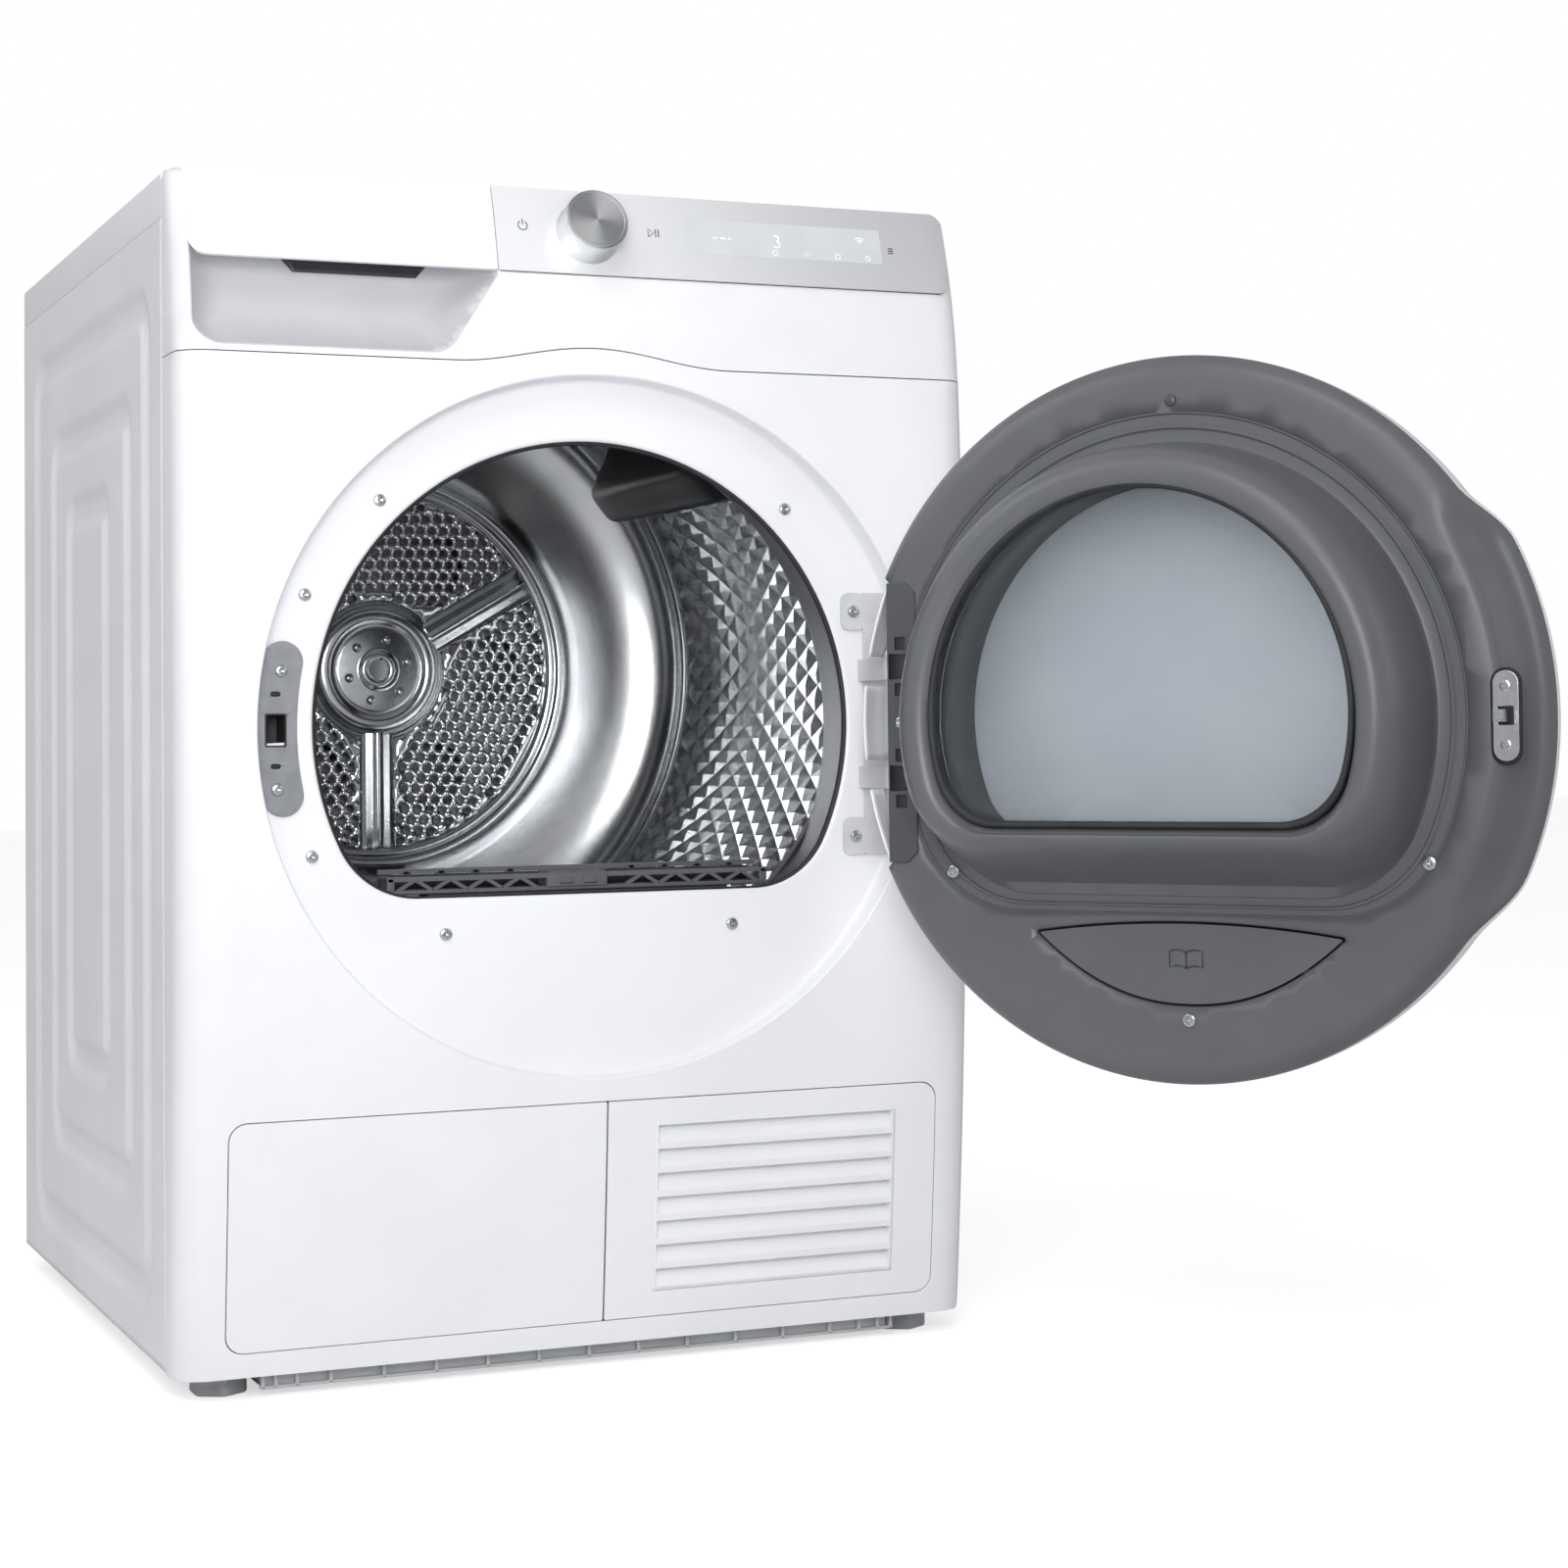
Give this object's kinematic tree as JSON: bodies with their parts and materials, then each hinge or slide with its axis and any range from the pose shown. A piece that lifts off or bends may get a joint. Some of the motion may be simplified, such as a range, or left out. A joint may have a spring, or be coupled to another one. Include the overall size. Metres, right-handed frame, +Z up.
{
  "type": "clothes dryer",
  "caption": "Freestanding heat-pump clothes dryer with a bulging front, an open round window door, a steel drum with lifters, a dial console and a water tank drawer.",
  "frame": {"origin": "centre of the base pan's underside", "axes": "+X to the right as seen from the front, +Y to the back, +Z up; the front faces -Y and the door stands open to the right"},
  "size_m": [0.8122, 1.1152, 0.85],
  "materials": {
    "white_enamel": "satin white enamel",
    "console_white": "smooth white moulding",
    "fascia_white": "glossy white moulding",
    "silver_overlay": "silver film under a clear coat",
    "display": "translucent grey window",
    "dial_metal": "spun face with a satin skirt",
    "graphite": "fine-grained graphite moulding",
    "dark": "dark grained moulding",
    "drum_steel": "bright stainless steel",
    "zinc": "galvanised steel",
    "chrome": "bright plated steel",
    "rubber": "black rubber",
    "glass": "pale tinted pane",
    "grey": "grey moulding",
    "fins": "thin fins",
    "compressor": "black enamel",
    "motor_case": "cast case"
  },
  "bodies": {
    "cabinet": {"base_pan": "grey", "side_panel_left": "white_enamel", "side_panel_right": "white_enamel", "rear_panel": "zinc", "rear_duct_cover": "zinc", "top_cover": "white_enamel", "mains_inlet": "dark", "front_panel": "white_enamel", "louvre_grille": "console_white", "console_panel": "console_white", "console_overlay": "silver_overlay", "display_window": "display", "tank_housing": "grey", "control_board": "dark", "front_bulkhead": "dark", "door_seal": "rubber", "filter_housing": "dark", "rear_bearing": "zinc", "rear_bulkhead": "zinc", "drum_belt": "rubber", "motor": "motor_case", "blower_housing": "dark", "compressor": "compressor", "evaporator": "fins", "condenser_coil": "fins", "exchanger_cover": "grey", "hinge_plate": "zinc", "hinge_pin": "zinc", "lock_plate": "graphite"},
    "tank_drawer": {"tank_drawer_front": "fascia_white", "water_tank": "grey"},
    "dial": {"dial_knob": "dial_metal"},
    "filter": {"lint_filter": "graphite"},
    "drum": {"drum_shell": "drum_steel", "drum_back": "drum_steel", "lifter_1": "dark", "lifter_2": "dark", "lifter_3": "dark", "drum_shaft": "zinc"},
    "rotor": {"motor_rotor": "zinc", "blower_fan": "dark"},
    "tension_arm": {"idler_arm": "zinc"},
    "tension_pulley": {"idler_pulley": "grey"},
    "roller_left": {"support_roller_left": "grey"},
    "roller_right": {"support_roller_right": "grey"},
    "flap": {"access_flap": "console_white"},
    "lever_left": {"cover_lever_left": "dark"},
    "lever_right": {"cover_lever_right": "dark"},
    "door": {"door_inner_frame": "graphite", "door_outer_cover": "fascia_white", "door_outer_pane": "glass", "door_window": "glass", "hinge_cover": "dark", "hinge_leaf": "zinc", "latch_plate": "chrome"},
    "hook": {"latch_hook": "chrome"},
    "levelling_foot_front_left": {"foot_front_left": "grey"},
    "levelling_foot_front_right": {"foot_front_right": "grey"},
    "levelling_foot_rear_left": {"foot_rear_left": "grey"},
    "levelling_foot_rear_right": {"foot_rear_right": "grey"}
  },
  "joints": [
    {"name": "door_hinge", "type": "hinge", "parent": "cabinet", "child": "door", "pos_m": [0.231, -0.378, 0.455], "axis": [0, 0, 1], "range_deg": [-125.4, 0]},
    {"name": "latch_play", "type": "slide", "parent": "door", "child": "hook", "axis": [-0.5793, 0.8151, 0], "range_m": [-0.0015, 0.0015], "stiffness_N_per_m": 600},
    {"name": "tank_slide", "type": "slide", "parent": "cabinet", "child": "tank_drawer", "axis": [0, -1, 0], "range_m": [0, 0.42]},
    {"name": "dial_turn", "type": "hinge", "parent": "cabinet", "child": "dial", "pos_m": [0, -0.3246, 0.8117], "axis": [0, -0.9603, 0.279], "continuous": true},
    {"name": "drum_spin", "type": "hinge", "parent": "cabinet", "child": "drum", "pos_m": [0, 0, 0.51], "axis": [0, 1, 0], "continuous": true},
    {"name": "rotor_spin", "type": "hinge", "parent": "cabinet", "child": "rotor", "pos_m": [0.17, 0, 0.105], "axis": [0, 1, 0], "continuous": true},
    {"name": "tension_arm_swing", "type": "hinge", "parent": "cabinet", "child": "tension_arm", "pos_m": [0.23, -0.008, 0.0334], "axis": [0, 1, 0], "range_deg": [-4, 0], "stiffness_Nm_per_rad": 1.5, "springref_deg": 20.05},
    {"name": "tension_pulley_spin", "type": "hinge", "parent": "tension_arm", "child": "tension_pulley", "pos_m": [0.216, -0.024, 0.163], "axis": [0, 1, 0], "continuous": true},
    {"name": "roller_left_spin", "type": "hinge", "parent": "cabinet", "child": "roller_left", "pos_m": [-0.12662, -0.208, 0.23845], "axis": [0, 1, 0], "continuous": true},
    {"name": "roller_right_spin", "type": "hinge", "parent": "cabinet", "child": "roller_right", "pos_m": [0.12662, -0.208, 0.23845], "axis": [0, 1, 0], "continuous": true},
    {"name": "filter_slide", "type": "slide", "parent": "cabinet", "child": "filter", "axis": [0, 0, 1], "range_m": [0, 0.2]},
    {"name": "flap_hinge", "type": "hinge", "parent": "cabinet", "child": "flap", "pos_m": [-0.13, -0.318, 0.032], "axis": [1, 0, 0], "range_deg": [0, 80]},
    {"name": "lever_left_turn", "type": "hinge", "parent": "cabinet", "child": "lever_left", "pos_m": [-0.228, -0.3, 0.086], "axis": [0, 1, 0], "range_deg": [0, 90]},
    {"name": "lever_right_turn", "type": "hinge", "parent": "cabinet", "child": "lever_right", "pos_m": [-0.052, -0.3, 0.086], "axis": [0, 1, 0], "range_deg": [0, 90]},
    {"name": "foot_screw_front_left", "type": "slide", "parent": "cabinet", "child": "levelling_foot_front_left", "axis": [0, 0, -1], "range_m": [0, 0.012]},
    {"name": "foot_screw_front_right", "type": "slide", "parent": "cabinet", "child": "levelling_foot_front_right", "axis": [0, 0, -1], "range_m": [0, 0.012]},
    {"name": "foot_screw_rear_left", "type": "slide", "parent": "cabinet", "child": "levelling_foot_rear_left", "axis": [0, 0, -1], "range_m": [0, 0.012]},
    {"name": "foot_screw_rear_right", "type": "slide", "parent": "cabinet", "child": "levelling_foot_rear_right", "axis": [0, 0, -1], "range_m": [0, 0.012]}
  ],
  "couplings": [
    {"joint": "rotor_spin", "follows": "drum_spin", "ratio": 20.07},
    {"joint": "tension_pulley_spin", "follows": "drum_spin", "ratio": 17.56},
    {"joint": "roller_left_spin", "follows": "drum_spin", "ratio": -15.61},
    {"joint": "roller_right_spin", "follows": "drum_spin", "ratio": -15.61}
  ]
}
